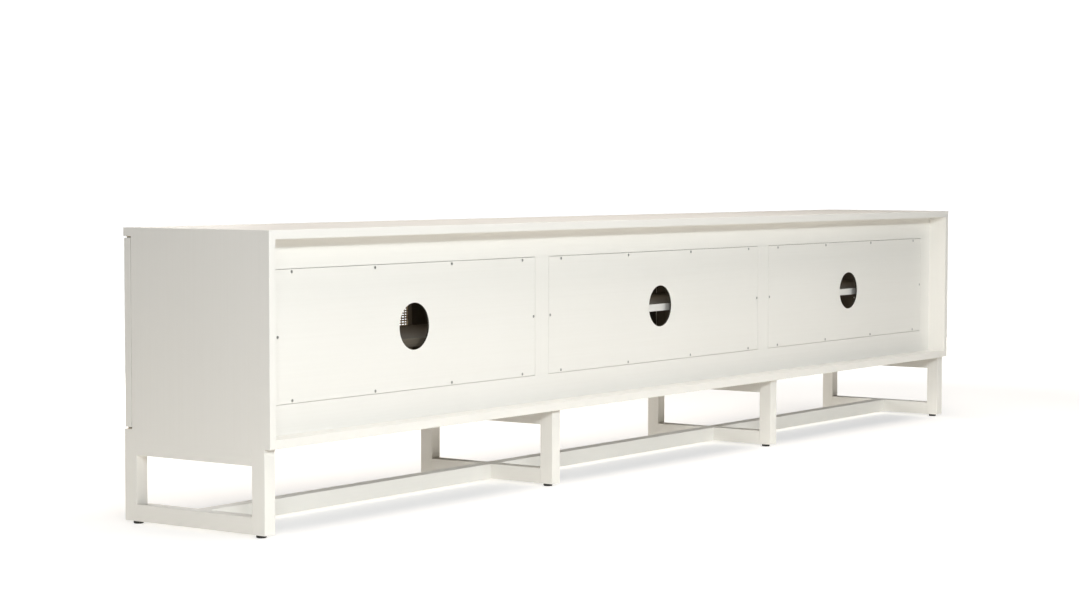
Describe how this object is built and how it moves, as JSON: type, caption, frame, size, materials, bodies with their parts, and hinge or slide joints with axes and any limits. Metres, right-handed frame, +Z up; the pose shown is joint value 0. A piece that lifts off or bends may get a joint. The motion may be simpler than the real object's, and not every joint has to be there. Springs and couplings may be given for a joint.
{
  "type": "tv stand with doors",
  "caption": "Long low white media cabinet on open leg frames, with woven-panel doors, shelves and a recessed back with screwed access panels and cable holes.",
  "frame": {"origin": "on the floor under the middle of the whole object, knobs included", "axes": "+X along the length, doors face -Y, recessed back faces +Y, +Z up"},
  "size_m": [2.99, 0.42, 0.61],
  "materials": {
    "painted_wood": "white satin lacquer over fine grain, brown stain inside",
    "woven_reed": "woven reed",
    "knob_nickel": "satin nickel",
    "screw_steel": "zinc plated",
    "pin_steel": "bright steel",
    "bushing_brass": "turned brass",
    "catch_plastic": "moulded",
    "glide_plastic": "moulded black"
  },
  "bodies": {
    "case": {"top_panel": "painted_wood", "bottom_panel": "painted_wood", "left_end_panel": "painted_wood", "right_end_panel": "painted_wood", "left_partition": "painted_wood", "right_partition": "painted_wood", "left_shelf": "painted_wood", "middle_shelf": "painted_wood", "right_shelf": "painted_wood", "back_top_rail": "painted_wood", "back_bottom_rail": "painted_wood", "back_stile_1": "painted_wood", "back_stile_2": "painted_wood", "back_stile_3": "painted_wood", "back_stile_4": "painted_wood", "access_panel_1": "painted_wood", "access_panel_2": "painted_wood", "access_panel_3": "painted_wood", "stretcher_1": "painted_wood", "stretcher_2": "painted_wood", "stretcher_3": "painted_wood", "leg_rails_1": "painted_wood", "leg_rails_2": "painted_wood", "leg_rails_3": "painted_wood", "leg_rails_4": "painted_wood", "leg_posts_1": "painted_wood", "leg_posts_2": "painted_wood", "leg_posts_3": "painted_wood", "leg_posts_4": "painted_wood", "panel_screws": "screw_steel", "leg_bolts": "screw_steel", "shelf_pins": "pin_steel", "foot_glides": "glide_plastic", "pivot_bushings": "bushing_brass", "magnetic_catches": "catch_plastic"},
    "door_1": {"door_1_frame": "painted_wood", "door_1_grille": "woven_reed", "door_1_knob": "knob_nickel", "door_1_metalwork": "pin_steel"},
    "door_2": {"door_2_frame": "painted_wood", "door_2_grille": "woven_reed", "door_2_knob": "knob_nickel", "door_2_metalwork": "pin_steel"},
    "door_3": {"door_3_frame": "painted_wood", "door_3_grille": "woven_reed", "door_3_knob": "knob_nickel", "door_3_metalwork": "pin_steel"},
    "door_4": {"door_4_frame": "painted_wood", "door_4_grille": "woven_reed", "door_4_knob": "knob_nickel", "door_4_metalwork": "pin_steel"},
    "door_5": {"door_5_frame": "painted_wood", "door_5_grille": "woven_reed", "door_5_knob": "knob_nickel", "door_5_metalwork": "pin_steel"},
    "door_6": {"door_6_frame": "painted_wood", "door_6_grille": "woven_reed", "door_6_knob": "knob_nickel", "door_6_metalwork": "pin_steel"}
  },
  "joints": [
    {"name": "door_1_hinge", "type": "hinge", "parent": "case", "child": "door_1", "pos_m": [-1.484, -0.184, 0.394], "axis": [0, 0, -1], "range_deg": [0, 110]},
    {"name": "door_2_hinge", "type": "hinge", "parent": "case", "child": "door_2", "pos_m": [-0.50933, -0.184, 0.394], "axis": [0, 0, 1], "range_deg": [0, 85]},
    {"name": "door_3_hinge", "type": "hinge", "parent": "case", "child": "door_3", "pos_m": [-0.48733, -0.184, 0.394], "axis": [0, 0, -1], "range_deg": [0, 85]},
    {"name": "door_4_hinge", "type": "hinge", "parent": "case", "child": "door_4", "pos_m": [0.48733, -0.184, 0.394], "axis": [0, 0, 1], "range_deg": [0, 85]},
    {"name": "door_5_hinge", "type": "hinge", "parent": "case", "child": "door_5", "pos_m": [0.50933, -0.184, 0.394], "axis": [0, 0, -1], "range_deg": [0, 85]},
    {"name": "door_6_hinge", "type": "hinge", "parent": "case", "child": "door_6", "pos_m": [1.484, -0.184, 0.394], "axis": [0, 0, 1], "range_deg": [0, 110]}
  ]
}
